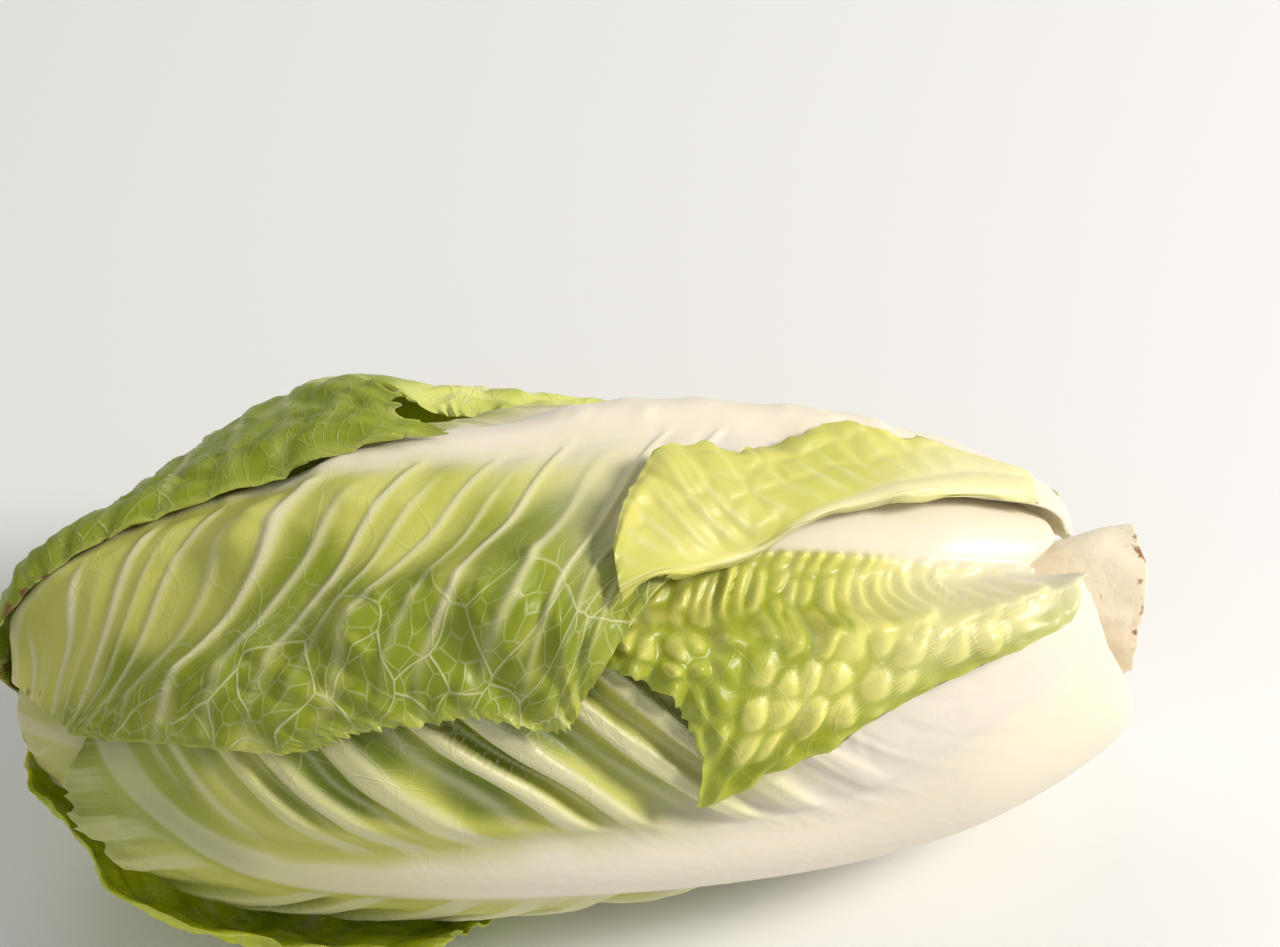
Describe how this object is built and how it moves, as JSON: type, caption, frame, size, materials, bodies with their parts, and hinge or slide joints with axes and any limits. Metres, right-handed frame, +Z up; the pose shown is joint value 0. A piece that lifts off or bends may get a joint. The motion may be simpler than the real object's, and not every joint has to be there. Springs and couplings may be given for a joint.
{
  "type": "romaine heart",
  "caption": "Romaine lettuce heart lying on its side: ribbed, crinkled leaves wrapped closely round a short stem that is cut flat at the butt end.",
  "frame": {"origin": "on the surface that the heart lies on, under the middle of its bounding box", "axes": "+X along the heart from its closed leaf tips to the cut butt; +Z up, away from the surface; -Y is the side seen in the picture"},
  "size_m": [0.229, 0.1102, 0.102],
  "materials": {
    "stem": "moist cut stem, cream with tan scars",
    "inner_leaf": "satin leaf, pale yellow-green",
    "hidden_leaf": "satin leaf, light green",
    "belly_leaf": "satin leaf, deep green furrows between thick ivory ribs",
    "crinkled_leaf": "glossy blistered leaf, lime green",
    "top_leaf": "satin leaf, pale lime with ivory ribs",
    "torn_leaf": "thin satin leaf, yellow-lime",
    "back_leaf": "satin leaf, mid green with a toothed yellow-green margin",
    "under_leaf": "satin leaf, olive green with pale veins"
  },
  "bodies": {
    "root": {"stem": "stem", "heart_leaf_1": "inner_leaf", "heart_leaf_2": "inner_leaf", "heart_leaf_3": "inner_leaf", "heart_leaf_4": "inner_leaf", "heart_leaf_5": "inner_leaf", "heart_leaf_6": "inner_leaf", "heart_leaf_7": "inner_leaf", "heart_leaf_8": "inner_leaf", "rear_low_leaf": "hidden_leaf", "rear_high_leaf": "hidden_leaf", "tip_leaf": "hidden_leaf", "belly_leaf": "belly_leaf", "crinkled_leaf": "crinkled_leaf", "top_leaf": "top_leaf", "torn_leaf": "torn_leaf", "back_leaf": "back_leaf", "under_leaf": "under_leaf"}
  },
  "joints": []
}
